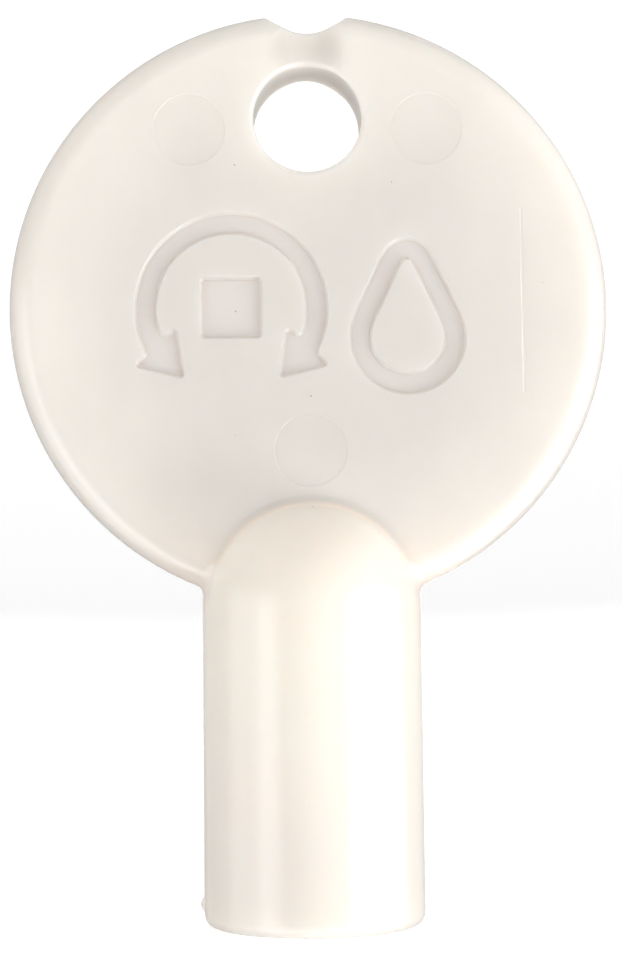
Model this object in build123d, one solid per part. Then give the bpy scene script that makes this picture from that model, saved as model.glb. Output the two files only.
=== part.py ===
from build123d import *
import math
import os

# Radiator bleed key: a white moulded key with a round head and a ball-nosed barrel, and a brass socket
# insert in the end of the barrel. Millimetres. +Z runs up the key from the socket's mouth to the head, the
# origin is in the middle of the barrel's end face, and the pictogram is on the face that looks along -Y.

# Head: a flat disc with a rounded rim
HEAD_RADIUS = 19.35
HEAD_THICKNESS = 4.5
HEAD_CENTRE_Z = 39.55
RIM_ROUND = 1.7

# Barrel: a cylinder with a ball nose that runs into both faces of the head
BARREL_RADIUS = 7.0
BARREL_END_ROUND = 0.8
DOME_CENTRE_Z = 20.07
ROOT_ROUND = 0.8

# Hanging hole, and the seat that a key ring wears over the bridge above it
HOLE_RADIUS = 3.5
HOLE_Z = 51.67
HOLE_EDGE_ROUND = 0.3
NOTCH_RADIUS = 3.4
NOTCH_Z = 57.35
NOTCH_EDGE_ROUND = 0.25
TROUGH_WIDTH = 5.2
TROUGH_DEPTH = 0.3
TROUGH_CREST_OUT = 0.01

# Marks that the mould leaves
PARTING_RIDGE_HEIGHT = 0.05
PARTING_RIDGE_WIDTH = 0.14
PARTING_RIDGE_ROOT = 1.0
PARTING_RIDGE_START_Z = 0.9
GATE_STUB_RADIUS = 0.6
GATE_STUB_HEIGHT = 0.25
GATE_STUB_Z = 1.4
EJECTOR_RADIUS = 2.35
EJECTOR_DEPTH = 0.04
EJECTOR_PLACES = [(-7.65, 50.93), (7.65, 50.93), (0, 30.1)]
WITNESS_X = 13.7
WITNESS_Z = (33.7, 45.7)
WITNESS_WIDTH = 0.2
WITNESS_DEPTH = 0.05

# Pictogram sunk into the front face: a two-way turn arrow round a square spindle, and a drop
PICTOGRAM_DEPTH = 0.25
PICTOGRAM_BEVEL = 0.2
CUTTER_ROUND = 0.3
STROKE = 1.5
ARROW_CENTRE = (-5.0, 39.3)
ARROW_RADIUS = 5.5
ARROW_SPAN = 240.0
ARROW_HEAD_WIDTH = 4.0
ARROW_HEAD_LENGTH = 3.0
ARROW_HEAD_TURN = 12.0
ARROW_HEAD_OVERLAP = 0.4
SPINDLE_SIDE = 4.0
DROP_CENTRE = (6.3, 37.4)
DROP_RADIUS = 3.8
DROP_HEIGHT = 8.8
DROP_TIP_ROUND = 1.8

# Brass socket insert
INSERT_RADIUS = 4.7
INSERT_LENGTH = 14.0
INSERT_RECESS = 0.4
INSERT_CHAMFER = 0.3
KNURL_COUNT = 28
KNURL_DEPTH = 0.25
INSERT_GROOVE_RADIUS = 4.1
INSERT_GROOVE_WIDTH = 1.8
SOCKET_ACROSS_FLATS = 5.15
SOCKET_DEPTH = 10.0
SOCKET_LEAD_IN = 0.5
PILOT_RADIUS = 2.68
PILOT_DEPTH = 12.0
DRILL_POINT_ANGLE = 118.0
MOUTH_LEAD_IN = 0.35

FRONT = Plane(origin=(0, -HEAD_THICKNESS / 2, 0), x_dir=(1, 0, 0), z_dir=(0, -1, 0))
FROM_BASE = (Align.CENTER, Align.CENTER, Align.MIN)


def across_head(radius, z, length=2 * HEAD_THICKNESS):
    """A cylinder along Y, centred on the middle plane of the head."""
    return Pos(0, 0, z) * Rot(90, 0, 0) * Cylinder(radius, length)


def circles(shape, radius):
    """The circular edges of one radius."""
    round_edges = shape.edges().filter_by(GeomType.CIRCLE)
    return round_edges.filter_by(lambda edge: abs(edge.radius - radius) < 1e-6)


def trough():
    """The soft-sided hollow for a ring's wire on a face of the head, between the notch and the hole."""
    half_width = TROUGH_WIDTH / 2
    bottom_y = HEAD_THICKNESS / 2 - TROUGH_DEPTH
    crest_y = HEAD_THICKNESS / 2 + TROUGH_CREST_OUT
    turning = (half_width / 2, (bottom_y + crest_y) / 2)
    hollow = TangentArc((0, bottom_y), turning, tangent=(1, 0))
    crest = TangentArc((half_width, crest_y), turning, tangent=(-1, 0))
    outside = Polyline((half_width, crest_y), (half_width, HEAD_THICKNESS), (0, HEAD_THICKNESS))
    right = [hollow, crest, outside]
    left = [mirror(line, Plane.YZ) for line in right]
    return Pos(0, 0, HOLE_Z) * extrude(make_face(right + left), HEAD_RADIUS, dir=(0, 0, 1))


def is_notch_edge(edge):
    """Whether an edge runs along the notch on the front or the back of the head."""
    middle = edge @ 0.5
    off_wall = math.hypot(middle.X, middle.Z - NOTCH_Z - NOTCH_RADIUS) - NOTCH_RADIUS
    return abs(off_wall) < 1e-3 and abs(middle.Y) > NOTCH_EDGE_ROUND


def is_hole_edge(edge):
    """Whether an edge runs round the hanging hole on a face of the head, or across the seat in it."""
    middle = edge @ 0.5
    off_wall = math.hypot(middle.X, middle.Z - HOLE_Z) - HOLE_RADIUS
    return abs(off_wall) < 1e-3 and abs(middle.Y) > HEAD_THICKNESS / 4


def head():
    disc = across_head(HEAD_RADIUS, HEAD_CENTRE_Z, HEAD_THICKNESS)
    disc = fillet(circles(disc, HEAD_RADIUS), RIM_ROUND)
    disc -= trough()
    disc -= Rot(0, 0, 180) * trough()
    disc -= across_head(NOTCH_RADIUS, NOTCH_Z + NOTCH_RADIUS)
    disc = fillet(disc.edges().filter_by(is_notch_edge), NOTCH_EDGE_ROUND)
    disc -= across_head(HOLE_RADIUS, HOLE_Z)
    return fillet(disc.edges().filter_by(is_hole_edge), HOLE_EDGE_ROUND)


def barrel():
    tube = Cylinder(BARREL_RADIUS, DOME_CENTRE_Z, align=FROM_BASE)
    end_edge = tube.edges().filter_by(GeomType.CIRCLE).sort_by(Axis.Z)[0]
    return fillet(end_edge, BARREL_END_ROUND) + Pos(0, 0, DOME_CENTRE_Z) * Sphere(BARREL_RADIUS)


def is_root_edge(edge):
    """Whether an edge lies in the corner between the barrel and the head."""
    middle = edge @ 0.5
    above_base = max(middle.Z - DOME_CENTRE_Z, 0)
    off_surface = math.hypot(middle.X, middle.Y, above_base) - BARREL_RADIUS
    on_head = abs(middle.Y) <= HEAD_THICKNESS / 2 + 0.01
    return abs(off_surface) < 0.01 and on_head and middle.Z > DOME_CENTRE_Z + 0.1


def parting_ridge():
    """The fine ridge round the outline, where the two halves of the mould meet."""
    outline = Pos(0, HEAD_CENTRE_Z) * Circle(HEAD_RADIUS)
    outline += Pos(0, HEAD_CENTRE_Z / 2) * Rectangle(2 * BARREL_RADIUS, HEAD_CENTRE_Z)
    outline -= Pos(0, NOTCH_Z + NOTCH_RADIUS) * Circle(NOTCH_RADIUS)
    band = offset(outline, PARTING_RIDGE_HEIGHT) - offset(outline, -PARTING_RIDGE_ROOT)
    ridge = extrude(Plane.XZ * band, PARTING_RIDGE_WIDTH / 2, both=True)
    return ridge - Box(3 * BARREL_RADIUS, BARREL_RADIUS, 2 * PARTING_RIDGE_START_Z)


def gate_stub():
    """What is left of the runner on the side of the barrel."""
    sunk = BARREL_RADIUS + GATE_STUB_HEIGHT - GATE_STUB_RADIUS
    return Pos(-sunk, 0, GATE_STUB_Z) * Sphere(GATE_STUB_RADIUS)


def ejector_marks():
    """Shallow round marks with sloping sides, where the ejector pins press."""
    mark = Cone(EJECTOR_RADIUS, EJECTOR_RADIUS - EJECTOR_DEPTH, EJECTOR_DEPTH, align=FROM_BASE)
    return [Pos(x, -HEAD_THICKNESS / 2, z) * Rot(-90, 0, 0) * mark for x, z in EJECTOR_PLACES]


def witness_line():
    """The fine V along the edge of the block that carries the pictogram in the mould."""
    low, high = WITNESS_Z
    half_width = WITNESS_WIDTH / 2
    face_y = -HEAD_THICKNESS / 2
    section = Polygon((-half_width, face_y), (half_width, face_y), (0, face_y + WITNESS_DEPTH), align=None)
    return Pos(WITNESS_X, 0, low) * extrude(section, high - low)


def turn_arrow():
    """An arc over the spindle with an arrowhead at each end, and the spindle's square."""
    half_gap = math.radians(180 - ARROW_SPAN / 2)
    gap_x = 3 * ARROW_RADIUS * math.sin(half_gap)
    gap_z = -3 * ARROW_RADIUS * math.cos(half_gap)
    arrow = Circle(ARROW_RADIUS + STROKE / 2) - Circle(ARROW_RADIUS - STROKE / 2)
    arrow -= Polygon((0, 0), (-gap_x, gap_z), (gap_x, gap_z), align=None)
    half_width = ARROW_HEAD_WIDTH / 2
    tip = Polygon((-half_width, 0), (0, -ARROW_HEAD_LENGTH), (half_width, 0), align=None)
    for side in (-1, 1):
        points_down = Rot(0, 0, 90 * (1 - side) - side * ARROW_HEAD_TURN) * tip
        at_end = Pos(ARROW_RADIUS, side * ARROW_HEAD_OVERLAP) * points_down
        arrow += Rot(0, 0, 90 - side * ARROW_SPAN / 2) * at_end
    arrow += Rectangle(SPINDLE_SIDE, SPINDLE_SIDE)
    return fillet(arrow.vertices(), CUTTER_ROUND)


def drop():
    """The outline of a water drop: a round belly with two straight sides up to a point."""
    touch = math.acos(DROP_RADIUS / DROP_HEIGHT)
    side_x = DROP_RADIUS * math.sin(touch)
    side_z = DROP_RADIUS * math.cos(touch)
    outer = Circle(DROP_RADIUS) + Polygon((-side_x, side_z), (side_x, side_z), (0, DROP_HEIGHT), align=None)
    outer = fillet(outer.vertices().sort_by(Axis.Y)[-1], DROP_TIP_ROUND)
    return outer - offset(outer, -STROKE)


def pictogram():
    """The cutter of the sunk pictogram, with a bevel round its floor."""
    drawing = Pos(*ARROW_CENTRE) * turn_arrow() + Pos(*DROP_CENTRE) * drop()
    cutter = extrude(FRONT * drawing, -PICTOGRAM_DEPTH)
    floor_edges = cutter.edges().group_by(Axis.Y)[-1]
    return chamfer(floor_edges, PICTOGRAM_BEVEL)


def insert_blank():
    """The outside of the brass insert. Its straight knurl and its groove hold it in the plastic."""
    blank = Cylinder(INSERT_RADIUS, INSERT_LENGTH, align=FROM_BASE)
    blank = chamfer(circles(blank, INSERT_RADIUS), INSERT_CHAMFER)
    reach = 2 * KNURL_DEPTH
    notch = Polygon((0, 0), (reach, -reach), (reach, reach), align=None)
    notch = extrude(Pos(INSERT_RADIUS - KNURL_DEPTH, 0) * notch, INSERT_LENGTH)
    blank -= [Rot(0, 0, 360 * turn / KNURL_COUNT) * notch for turn in range(KNURL_COUNT)]
    band = Cylinder(2 * INSERT_RADIUS, INSERT_GROOVE_WIDTH)
    band -= Cylinder(INSERT_GROOVE_RADIUS, INSERT_GROOVE_WIDTH)
    blank -= Pos(0, 0, INSERT_LENGTH / 2) * band
    return Pos(0, 0, INSERT_RECESS) * blank


def socket():
    """The square that fits the valve's spindle, with a lead-in at its mouth and the pilot past its end."""
    square = Box(SOCKET_ACROSS_FLATS, SOCKET_ACROSS_FLATS, SOCKET_DEPTH, align=FROM_BASE)
    half_diagonal = SOCKET_ACROSS_FLATS / math.sqrt(2)
    lead_in = Cone(half_diagonal, half_diagonal - SOCKET_LEAD_IN, SOCKET_LEAD_IN, align=FROM_BASE)
    pilot = Cylinder(PILOT_RADIUS, PILOT_DEPTH, align=FROM_BASE)
    point_height = PILOT_RADIUS / math.tan(math.radians(DRILL_POINT_ANGLE / 2))
    point = Pos(0, 0, PILOT_DEPTH) * Cone(PILOT_RADIUS, 0, point_height, align=FROM_BASE)
    return Pos(0, 0, INSERT_RECESS) * (square + lead_in + pilot + point)


def barrel_mouth():
    """The round opening in the end of the barrel, in front of the insert, with a lead-in at its rim."""
    opening = Cylinder(INSERT_RADIUS, INSERT_RECESS + INSERT_CHAMFER, align=FROM_BASE)
    return opening + Cone(INSERT_RADIUS + MOUTH_LEAD_IN, INSERT_RADIUS, MOUTH_LEAD_IN, align=FROM_BASE)


def key_body():
    """The white moulding, which is moulded round the insert."""
    body = head() + barrel()
    body = fillet(body.edges().filter_by(is_root_edge), ROOT_ROUND)
    body += parting_ridge() + gate_stub()
    body -= pictogram()
    body -= ejector_marks()
    body -= witness_line()
    body -= barrel_mouth()
    return body - insert_blank()


def socket_insert():
    return insert_blank() - socket()


if __name__ == "__main__":
    os.makedirs("parts", exist_ok=True)
    for node, piece in (("key_body", key_body()), ("socket_insert", socket_insert())):
        export_step(piece, f"parts/{node}.step")
        print(node, round(piece.volume, 1), "cubic millimetres in", len(piece.solids()), "solid")
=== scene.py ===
"""The looks of the radiator bleed key: a white moulded body and a brass socket insert, in a pale bowl."""
import math

import bpy
from mathutils import Matrix, Vector

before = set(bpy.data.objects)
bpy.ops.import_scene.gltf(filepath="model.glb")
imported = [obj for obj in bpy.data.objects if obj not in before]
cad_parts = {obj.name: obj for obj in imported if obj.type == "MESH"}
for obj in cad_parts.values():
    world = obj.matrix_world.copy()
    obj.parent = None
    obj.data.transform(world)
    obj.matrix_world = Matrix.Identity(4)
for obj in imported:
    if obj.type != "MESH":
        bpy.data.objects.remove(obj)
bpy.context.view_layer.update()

# Camera: metres and degrees
CAMERA_PLACE = (-0.002916, -0.1319, 0.01752)
CAMERA_PITCH = 4.705
CAMERA_YAW = 1.282
CAMERA_ROLL = -0.624
CAMERA_LENS = 76.69
CAMERA_SENSOR = 36.0

# Studio bowl: a flat floor that curves up into a wall all round, in metres. The glow is for the camera alone
BOWL_FLAT_RADIUS = 0.45
BOWL_CURVE_RADIUS = 0.45
BOWL_WALL_HEIGHT = 1.2
BOWL_DROP = 0.00002
BOWL_ALBEDO = 0.45
BOWL_GLOW = 0.69
BOWL_SEGMENTS = 96
BOWL_CURVE_STEPS = 16

# World: bright from below and the front, dim overhead and behind. Reflections see one plain brightness
WORLD_BRIGHT = 2.75
WORLD_DIM = 0.4
WORLD_REFLECTED = 0.45
WORLD_BRIGHT_SIDE = (0.0, -0.35, -0.94)
WORLD_BAND = (-0.5, 0.3)

# Soft lights: name, azimuth from the front towards the right, elevation, width, height, power and use.
# A wash lights but isn't reflected, and a shine is only reflected. Degrees, metres and watts
LIGHTS = [
    ("left_wash", -66, 0, 0.52, 0.5, 1.95, "wash"),
    ("right_wash", 48, -5, 0.52, 0.5, 2.05, "wash"),
    ("right_edge_wash", 92, -5, 0.35, 0.5, 1.6, "wash"),
    ("low_right_wash", 70, -35, 0.2, 0.2, 1.8, "wash"),
    ("low_front_wash", 0, -40, 0.2, 0.2, 0.4, "wash"),
    ("back_wash", 180, 35, 0.5, 0.5, 2.2, "wash"),
    ("left_shine", -48, -24, 0.2, 0.73, 1.6, "shine"),
    ("left_edge_shine", -75, -24, 0.4, 0.73, 1.5, "shine"),
    ("right_shine", 72, -24, 0.66, 0.73, 7.6, "shine"),
]
LIGHT_DISTANCE = 0.5
LIGHT_TARGET = (0, 0, 0.033)

# White plastic: colours of the thin middle of the head with painted shade, its edges with painted light, the
# solid barrel painted brighter as painted light, the pictogram's floor and the specks, and how far red, green
# and blue light run in it, in metres
PLASTIC_HEAD_PAINTED_SHADE = (0.712, 0.676, 0.632)
PLASTIC_EDGE_PAINTED_LIGHT = (0.810, 0.776, 0.725)
PLASTIC_BARREL_PAINTED_LIGHT = (0.975, 0.858, 0.773)
PLASTIC_FLOOR = (0.708, 0.664, 0.626)
PLASTIC_SPECK = (0.36, 0.29, 0.24)
PLASTIC_IOR = 1.5
PLASTIC_RADIUS = (1.0, 0.9, 0.8)
PLASTIC_SCATTER = 0.0025

# Where the plastic changes colour and where light and shade are painted into it, in millimetres
FACE_Y = 2.25
RIM_START_Y = 0.675
HEAD_CENTRE_Z = 39.55
HEAD_RADIUS = 19.35
HEAD_MIDDLE_RADIUS = 7.74
HOLE_Z = 51.67
HOLE_RADIUS = 3.5
# Painted light round the hole and painted shade on the bridge above it
HOLE_EDGE_REACH = 9.1
HOLE_PAINTED_LIGHT_SHARE = 0.3
BRIDGE_Z = (54.12, 55.87)
BRIDGE_X = (3.2, 1.2)
BRIDGE_PAINTED_SHADE_SHARE = -1.2
# Painted light in the barrel and its nose, painted shade over the insert
SOLID_BARREL_Z = (27.07, 16.57)
DOME_CORNER_Y = (2.25, 2.55)
DOME_NOSE_Y = (2.55, 4.2)
DOME_NOSE_SHARE = 0.85
INSERT_Z = (16.4, 2.88)
INSERT_PAINTED_SHADE_SHARE = -0.65
PICTOGRAM_Z = (32.8, 47.0)
PICTOGRAM_SUNK = (0.08, 0.18)
PICTOGRAM_FACING = -0.97

# The plastic's unevenness: features per millimetre, shares of the change in colour, and bump in metres
NOISE_SPAN = (0.3, 0.7)
CLOUD_SCALE = 0.13
CLOUD_SHARE = 0.16
FLOW_SCALE = 0.5
FLOW_SHARE = 0.06
FLOW_STRETCH = (1.0, 1.0, 0.4)
ROUGHNESS_SCALE = 0.35
ROUGHNESS = (0.22, 0.26)
FLOOR_ROUGHNESS = 0.2
SINK_SCALE = 0.16
SINK_BUMP = 3.0e-5
RIPPLE_SCALE = 1.1
RIPPLE_BUMP = 2.5e-6
GRAIN_SCALE = 7.0
GRAIN_BUMP = 5.0e-7
FLOOR_GRAIN_BUMP = 3.0e-6
SPECK_SCALE = 0.2
SPECK_CHANCE = 0.10
SPECK_REACH = (0.004, 0.012)

# Brass: colours of clean, dulled and deep metal, and its marks. Millimetres, the rings' radians per
# millimetre, and bump in metres
BRASS_CLEAN = (0.83, 0.62, 0.30)
BRASS_DULL = (0.62, 0.43, 0.20)
BRASS_DEEP = (0.36, 0.25, 0.13)
BRASS_INSIDE_RADIUS = (3.9, 3.4)
BRASS_DEEP_Z = (0.8, 6.0)
BRASS_DEEP_SHARE = 0.5
BRASS_DULL_SCALE = 0.7
BRASS_DULL_SPAN = (0.42, 0.68)
BRASS_ROUGHNESS = 0.24
BRASS_DULL_ROUGHNESS = 0.18
BRASS_DEEP_ROUGHNESS = 0.15
RING_RATE = 75.0
RING_BUMP = 1.2e-6
BROACH_STRETCH = (14.0, 14.0, 0.6)
BROACH_BUMP = 8.0e-6


def node(tree, kind, inputs=None, **settings):
    """Adds a shader node. Inputs maps a socket's name or number to a value or to another node's output."""
    made = tree.nodes.new(kind)
    for name, value in settings.items():
        setattr(made, name, value)
    for name, value in (inputs or {}).items():
        if isinstance(value, bpy.types.NodeSocket):
            tree.links.new(value, made.inputs[name])
        else:
            made.inputs[name].default_value = value
    return made


def maths(tree, operation, first, second=0.0, third=0.0):
    """The output of a math node."""
    made = node(tree, "ShaderNodeMath", {0: first, 1: second, 2: third}, operation=operation)
    return made.outputs[0]


def ramp(tree, value, low, high, out_low=0.0, out_high=1.0):
    """Value from low to high, turned into out_low to out_high and held there beyond."""
    inputs = {"Value": value, "From Min": low, "From Max": high, "To Min": out_low, "To Max": out_high}
    return node(tree, "ShaderNodeMapRange", inputs).outputs[0]


def soft_ramp(tree, value, low, high):
    """Value from low to high, turned into 0 to 1 with soft ends."""
    inputs = {"Value": value, "From Min": low, "From Max": high}
    return node(tree, "ShaderNodeMapRange", inputs, interpolation_type="SMOOTHSTEP").outputs[0]


def stretched(tree, vector, stretch):
    """A vector times another, part by part."""
    return node(tree, "ShaderNodeVectorMath", {0: vector, 1: stretch}, operation="MULTIPLY").outputs[0]


def noise(tree, vector, scale, detail=2.0, roughness=0.5):
    """A noise from 0 to 1. Scale is in features per millimetre."""
    inputs = {"Vector": vector, "Scale": scale, "Detail": detail, "Roughness": roughness}
    return node(tree, "ShaderNodeTexNoise", inputs).outputs["Fac"]


def blended(tree, factor, first, second):
    """A mix of two colours."""
    made = node(tree, "ShaderNodeMix", data_type="RGBA")
    for name, value in (("Factor", factor), ("A", first), ("B", second)):
        sockets = [s for s in made.inputs if s.name == name and s.enabled]
        if isinstance(value, bpy.types.NodeSocket):
            tree.links.new(value, sockets[0])
        else:
            sockets[0].default_value = value if name == "Factor" else (*value, 1)
    return [s for s in made.outputs if s.enabled][0]


def material_with_shader(name):
    """A new material with its node tree and its shader."""
    material = bpy.data.materials.new(name)
    material.use_nodes = True
    tree = material.node_tree
    return material, tree, tree.nodes["Principled BSDF"]


def in_millimetres(tree):
    """The place on the piece, in millimetres of the shared frame."""
    place = node(tree, "ShaderNodeTexCoord").outputs["Object"]
    return node(tree, "ShaderNodeVectorMath", {0: place, "Scale": 1000.0}, operation="SCALE").outputs[0]


def parts(tree, vector):
    """The three numbers of a vector."""
    made = node(tree, "ShaderNodeSeparateXYZ", {0: vector})
    return made.outputs[0], made.outputs[1], made.outputs[2]


def pictogram_floor(tree, y, z):
    """1 on the sunk floor of the pictogram and 0 elsewhere."""
    normal_y = parts(tree, node(tree, "ShaderNodeNewGeometry").outputs["Normal"])[1]
    facing = maths(tree, "LESS_THAN", normal_y, PICTOGRAM_FACING)
    sunk = ramp(tree, y, PICTOGRAM_SUNK[0] - FACE_Y, PICTOGRAM_SUNK[1] - FACE_Y)
    above = maths(tree, "GREATER_THAN", z, PICTOGRAM_Z[0])
    below = maths(tree, "LESS_THAN", z, PICTOGRAM_Z[1])
    within = maths(tree, "MULTIPLY", above, below)
    return maths(tree, "MULTIPLY", maths(tree, "MULTIPLY", facing, sunk), within)


def distance_from(tree, x, z, centre_z):
    """Distance from the line along Y at a height."""
    up = maths(tree, "SUBTRACT", z, centre_z)
    return maths(tree, "SQRT", maths(tree, "MULTIPLY_ADD", up, up, maths(tree, "MULTIPLY", x, x)))


def painted_edge_light_and_bridge_shade(tree, x, y, z):
    """Painted light and shade: from 0 in the middle of the head's faces to 1 or more of painted light at
    their edges and round the hole, and lower on the bridge over the hole, where shade is painted. Round the
    rim it falls to 0.
    """
    rim = soft_ramp(tree, distance_from(tree, x, z, HEAD_CENTRE_Z), HEAD_MIDDLE_RADIUS, HEAD_RADIUS)
    hole = soft_ramp(tree, distance_from(tree, x, z, HOLE_Z), HOLE_EDGE_REACH, HOLE_RADIUS)
    over_hole = soft_ramp(tree, z, *BRIDGE_Z)
    bridge = maths(tree, "MULTIPLY", over_hole, soft_ramp(tree, maths(tree, "ABSOLUTE", x), *BRIDGE_X))
    near = maths(tree, "MULTIPLY_ADD", hole, HOLE_PAINTED_LIGHT_SHARE, rim)
    # Painted shade on the bridge over the hole
    near = maths(tree, "MULTIPLY_ADD", bridge, BRIDGE_PAINTED_SHADE_SHARE, near)
    on_face = soft_ramp(tree, maths(tree, "ABSOLUTE", y), RIM_START_Y, FACE_Y)
    return maths(tree, "MULTIPLY", near, on_face)


def painted_barrel_light_and_insert_shade(tree, y, z):
    """Painted light: 1 in the solid barrel and its nose, painted brighter than the head, 0 in the head, and
    in between in the plastic over the insert, where shade is painted.
    """
    off_middle = maths(tree, "ABSOLUTE", y)
    corner = soft_ramp(tree, off_middle, *DOME_CORNER_Y)
    nose = soft_ramp(tree, off_middle, *DOME_NOSE_Y)
    dome = maths(tree, "MULTIPLY", corner, ramp(tree, nose, 0.0, 1.0, 1.0, DOME_NOSE_SHARE))
    below = soft_ramp(tree, z, *SOLID_BARREL_Z)
    over_insert = soft_ramp(tree, z, *INSERT_Z)
    # Painted shade over the insert
    return maths(tree, "MULTIPLY_ADD", over_insert, INSERT_PAINTED_SHADE_SHARE, maths(tree, "MAXIMUM", dome, below))


def specks(tree, x, z):
    """1 on a few dark inclusions of a tenth of a millimetre."""
    flat = node(tree, "ShaderNodeCombineXYZ", {0: x, 1: z}).outputs[0]
    inputs = {"Vector": flat, "Scale": SPECK_SCALE}
    cells = node(tree, "ShaderNodeTexVoronoi", inputs, voronoi_dimensions="2D")
    chance, size, _ = parts(tree, cells.outputs["Color"])
    chosen = maths(tree, "LESS_THAN", chance, SPECK_CHANCE)
    reach = ramp(tree, size, 0.0, 1.0, *SPECK_REACH)
    near = maths(tree, "LESS_THAN", cells.outputs["Distance"], reach)
    return maths(tree, "MULTIPLY", chosen, near)


def moulded_plastic():
    """Warm white, slightly translucent plastic with a soft gloss and the small faults of a moulding. Light is
    painted into its colour at the head's edges and in the barrel, and shade in the head, on the bridge and
    over the insert.
    """
    material, tree, shader = material_with_shader("moulded_plastic")
    place = in_millimetres(tree)
    x, y, z = parts(tree, place)
    floor = pictogram_floor(tree, y, z)
    speck = specks(tree, x, z)

    cloud = ramp(tree, noise(tree, place, CLOUD_SCALE, 3.0), *NOISE_SPAN, -CLOUD_SHARE, CLOUD_SHARE)
    along_key = stretched(tree, place, FLOW_STRETCH)
    flow = ramp(tree, noise(tree, along_key, FLOW_SCALE, 2.0), *NOISE_SPAN, -FLOW_SHARE, FLOW_SHARE)
    uneven = maths(tree, "ADD", cloud, flow)
    # Painted light at the head's edges and round the hole, and painted shade on the bridge
    head = blended(tree, maths(tree, "ADD", painted_edge_light_and_bridge_shade(tree, x, y, z), uneven), PLASTIC_HEAD_PAINTED_SHADE, PLASTIC_EDGE_PAINTED_LIGHT)
    # Painted light: the barrel and its nose brighter than the head, with painted shade over the insert
    colour = blended(tree, painted_barrel_light_and_insert_shade(tree, y, z), head, PLASTIC_BARREL_PAINTED_LIGHT)
    colour = blended(tree, floor, colour, PLASTIC_FLOOR)
    colour = blended(tree, speck, colour, PLASTIC_SPECK)
    tree.links.new(colour, shader.inputs["Base Color"])

    roughness = ramp(tree, noise(tree, place, ROUGHNESS_SCALE, 3.0), *NOISE_SPAN, *ROUGHNESS)
    roughness = maths(tree, "ADD", roughness, maths(tree, "MULTIPLY", floor, FLOOR_ROUGHNESS))
    tree.links.new(roughness, shader.inputs["Roughness"])

    height = maths(tree, "MULTIPLY", noise(tree, place, SINK_SCALE, 1.0), SINK_BUMP)
    height = maths(tree, "MULTIPLY_ADD", noise(tree, place, RIPPLE_SCALE, 2.0), RIPPLE_BUMP, height)
    fine = maths(tree, "MULTIPLY_ADD", floor, FLOOR_GRAIN_BUMP, GRAIN_BUMP)
    height = maths(tree, "MULTIPLY_ADD", noise(tree, place, GRAIN_SCALE, 3.0), fine, height)
    bump = node(tree, "ShaderNodeBump", {"Height": height, "Distance": 1.0, "Strength": 1.0})
    tree.links.new(bump.outputs[0], shader.inputs["Normal"])

    shader.inputs["IOR"].default_value = PLASTIC_IOR
    shader.inputs["Subsurface Weight"].default_value = 1.0
    shader.inputs["Subsurface Radius"].default_value = PLASTIC_RADIUS
    shader.inputs["Subsurface Scale"].default_value = PLASTIC_SCATTER
    return material


def turned_brass():
    """Bare brass with fine turning rings, dulled in patches and darker in the broached socket."""
    material, tree, shader = material_with_shader("turned_brass")
    place = in_millimetres(tree)
    x, y, z = parts(tree, place)
    radius = maths(tree, "SQRT", maths(tree, "MULTIPLY_ADD", x, x, maths(tree, "MULTIPLY", y, y)))
    inside = ramp(tree, radius, *BRASS_INSIDE_RADIUS)
    deep = maths(tree, "MULTIPLY", inside, ramp(tree, z, *BRASS_DEEP_Z))

    tarnish = ramp(tree, noise(tree, place, BRASS_DULL_SCALE, 4.0, 0.6), *BRASS_DULL_SPAN)
    colour = blended(tree, tarnish, BRASS_CLEAN, BRASS_DULL)
    colour = blended(tree, maths(tree, "MULTIPLY", deep, BRASS_DEEP_SHARE), colour, BRASS_DEEP)
    tree.links.new(colour, shader.inputs["Base Color"])

    roughness = maths(tree, "MULTIPLY_ADD", tarnish, BRASS_DULL_ROUGHNESS, BRASS_ROUGHNESS)
    roughness = maths(tree, "MULTIPLY_ADD", deep, BRASS_DEEP_ROUGHNESS, roughness)
    tree.links.new(roughness, shader.inputs["Roughness"])

    wobble = noise(tree, place, 2.0, 2.0)
    rings = maths(tree, "SINE", maths(tree, "MULTIPLY_ADD", radius, RING_RATE, wobble))
    rings = maths(tree, "MULTIPLY", rings, maths(tree, "SUBTRACT", 1.0, inside))
    chatter = noise(tree, stretched(tree, place, BROACH_STRETCH), 1.0, 2.0)
    height = maths(tree, "MULTIPLY", rings, RING_BUMP)
    height = maths(tree, "MULTIPLY_ADD", maths(tree, "MULTIPLY", chatter, inside), BROACH_BUMP, height)
    bump = node(tree, "ShaderNodeBump", {"Height": height, "Distance": 1.0, "Strength": 1.0})
    tree.links.new(bump.outputs[0], shader.inputs["Normal"])

    shader.inputs["Metallic"].default_value = 1.0
    return material


def pale_paper():
    """The bowl's paper. Its glow is seen by the camera but lights nothing."""
    material, tree, shader = material_with_shader("pale_paper")
    shader.inputs["Base Color"].default_value = (BOWL_ALBEDO, BOWL_ALBEDO, BOWL_ALBEDO, 1)
    shader.inputs["Roughness"].default_value = 0.9
    shader.inputs["Specular IOR Level"].default_value = 0.0
    glow = node(tree, "ShaderNodeEmission", {"Strength": BOWL_GLOW})
    lit = node(tree, "ShaderNodeAddShader", {0: shader.outputs[0], 1: glow.outputs[0]})
    seen = node(tree, "ShaderNodeLightPath").outputs["Is Camera Ray"]
    choice = node(tree, "ShaderNodeMixShader", {0: seen, 1: shader.outputs[0], 2: lit.outputs[0]})
    tree.links.new(choice.outputs[0], tree.nodes["Material Output"].inputs["Surface"])
    return material


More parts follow.
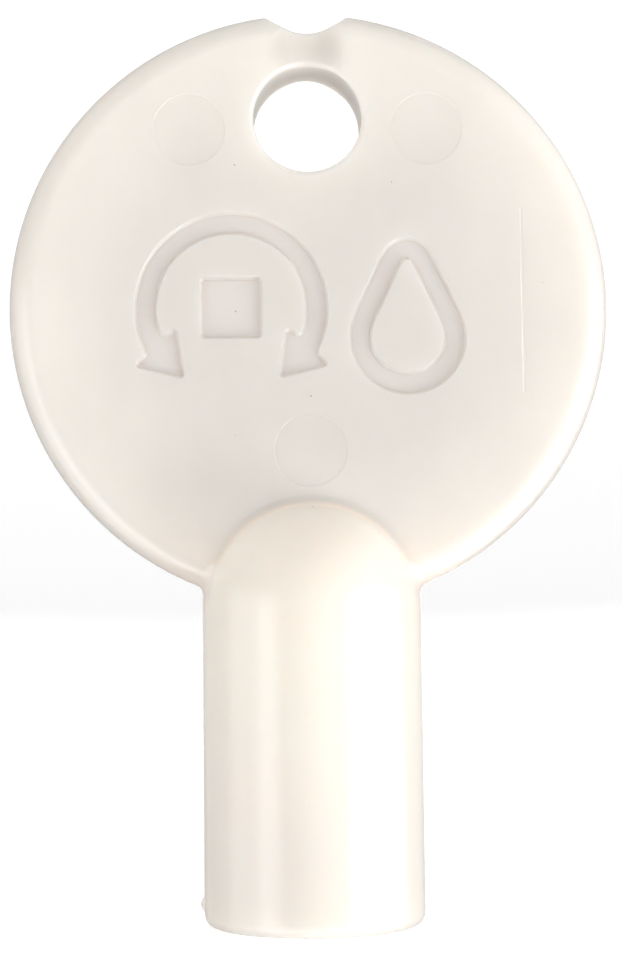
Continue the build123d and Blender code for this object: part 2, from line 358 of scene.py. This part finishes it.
def studio_bowl():
    """A pale floor that runs up into a round wall without an edge. It casts no shadow and isn't reflected."""
    profile = [(BOWL_FLAT_RADIUS, 0.0)]
    for step in range(1, BOWL_CURVE_STEPS + 1):
        angle = math.radians(90 * step / BOWL_CURVE_STEPS)
        profile.append((BOWL_FLAT_RADIUS + BOWL_CURVE_RADIUS * math.sin(angle),
                        BOWL_CURVE_RADIUS * (1 - math.cos(angle))))
    profile.append((profile[-1][0], BOWL_WALL_HEIGHT))
    points = [(0.0, 0.0, -BOWL_DROP)]
    for radius, height in profile:
        for turn in range(BOWL_SEGMENTS):
            angle = 2 * math.pi * turn / BOWL_SEGMENTS
            points.append((radius * math.cos(angle), radius * math.sin(angle), height - BOWL_DROP))
    faces = []
    for turn in range(BOWL_SEGMENTS):
        after = (turn + 1) % BOWL_SEGMENTS
        faces.append((0, 1 + turn, 1 + after))
        for ring in range(len(profile) - 1):
            low = 1 + ring * BOWL_SEGMENTS
            high = low + BOWL_SEGMENTS
            faces.append((low + turn, high + turn, high + after, low + after))
    mesh = bpy.data.meshes.new("studio_bowl")
    mesh.from_pydata(points, [], faces)
    mesh.shade_smooth()
    mesh.materials.append(pale_paper())
    bowl = bpy.data.objects.new("studio_bowl", mesh)
    bpy.context.scene.collection.objects.link(bowl)
    bowl.visible_shadow = False
    bowl.visible_glossy = False


def area_light(name, azimuth, elevation, width, height, power, use):
    """A soft panel that looks at the middle of the key."""
    data = bpy.data.lights.new(name, "AREA")
    data.shape = "RECTANGLE"
    data.size = width
    data.size_y = height
    data.energy = power
    light = bpy.data.objects.new(name, data)
    bpy.context.scene.collection.objects.link(light)
    around, up = math.radians(azimuth), math.radians(elevation)
    away = Vector((math.sin(around) * math.cos(up), -math.cos(around) * math.cos(up), math.sin(up)))
    light.location = Vector(LIGHT_TARGET) + LIGHT_DISTANCE * away
    light.rotation_euler = away.to_track_quat("Z", "Y").to_euler()
    light.visible_camera = False
    light.visible_diffuse = use != "shine"
    light.visible_glossy = use != "wash"


def make_world():
    """A graded surround. What the key reflects of it is plain and dim, so that its edges stay soft."""
    world = bpy.data.worlds.new("world")
    bpy.context.scene.world = world
    world.use_nodes = True
    tree = world.node_tree
    direction = node(tree, "ShaderNodeTexCoord").outputs["Generated"]
    along = node(tree, "ShaderNodeVectorMath", {0: direction, 1: WORLD_BRIGHT_SIDE}, operation="DOT_PRODUCT")
    strength = ramp(tree, along.outputs["Value"], *WORLD_BAND, WORLD_DIM, WORLD_BRIGHT)
    graded = node(tree, "ShaderNodeBackground", {"Strength": strength})
    reflected = node(tree, "ShaderNodeBackground", {"Strength": WORLD_REFLECTED})
    for shader in (graded, reflected):
        shader.inputs["Color"].default_value = (1, 1, 1, 1)
    is_reflection = node(tree, "ShaderNodeLightPath").outputs["Is Glossy Ray"]
    choice = node(tree, "ShaderNodeMixShader",
                  {0: is_reflection, 1: graded.outputs[0], 2: reflected.outputs[0]})
    tree.links.new(choice.outputs[0], tree.nodes["World Output"].inputs["Surface"])


def make_camera():
    """The camera of the photograph's view."""
    data = bpy.data.cameras.new("camera")
    data.lens = CAMERA_LENS
    data.sensor_width = CAMERA_SENSOR
    data.clip_start = 0.005
    data.clip_end = 20.0
    camera = bpy.data.objects.new("camera", data)
    bpy.context.scene.collection.objects.link(camera)
    turn = Matrix.Rotation(math.radians(-CAMERA_YAW), 4, "Z")
    turn = turn @ Matrix.Rotation(math.radians(90 + CAMERA_PITCH), 4, "X")
    turn = turn @ Matrix.Rotation(math.radians(CAMERA_ROLL), 4, "Z")
    camera.matrix_world = Matrix.Translation(CAMERA_PLACE) @ turn
    bpy.context.scene.camera = camera


make_camera()
make_world()
studio_bowl()
for light in LIGHTS:
    area_light(*light)
bpy.context.scene.view_settings.view_transform = "Standard"
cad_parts["key_body"].material_slots[0].material = moulded_plastic()
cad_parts["socket_insert"].material_slots[0].material = turned_brass()
